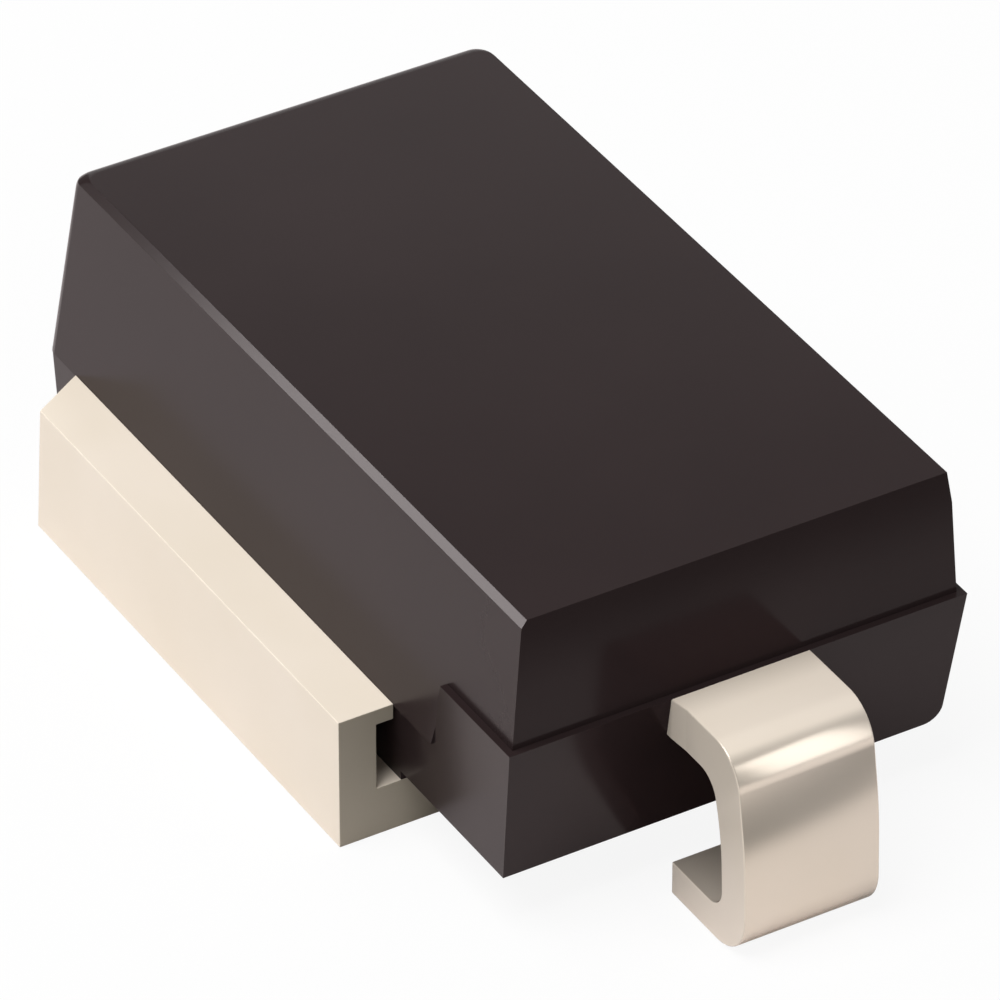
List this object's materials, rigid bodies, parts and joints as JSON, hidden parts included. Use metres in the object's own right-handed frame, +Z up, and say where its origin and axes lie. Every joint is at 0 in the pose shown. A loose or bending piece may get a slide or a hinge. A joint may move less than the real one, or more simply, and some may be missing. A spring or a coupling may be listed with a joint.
{
  "type": "tvs diode",
  "caption": "Surface-mount load-dump suppressor diode: black moulded body on a folded metal channel, with one wide bent lead at the end.",
  "frame": {"origin": "on the board plane, under the middle of the moulded body, on the heat sink's underside", "axes": "+Z up from the board, +X along the body towards the end with the bent lead, Y across the body"},
  "size_m": [0.0157, 0.0094, 0.0056],
  "materials": {
    "mould_compound": "semi-gloss",
    "plated_copper": "satin",
    "solder": "matte",
    "silicon": "satin"
  },
  "bodies": {
    "root": {"moulded_body": "mould_compound", "heat_sink": "plated_copper", "bent_lead": "plated_copper", "silicon_die": "silicon", "solder_under_die": "solder", "solder_over_die": "solder"}
  },
  "joints": []
}
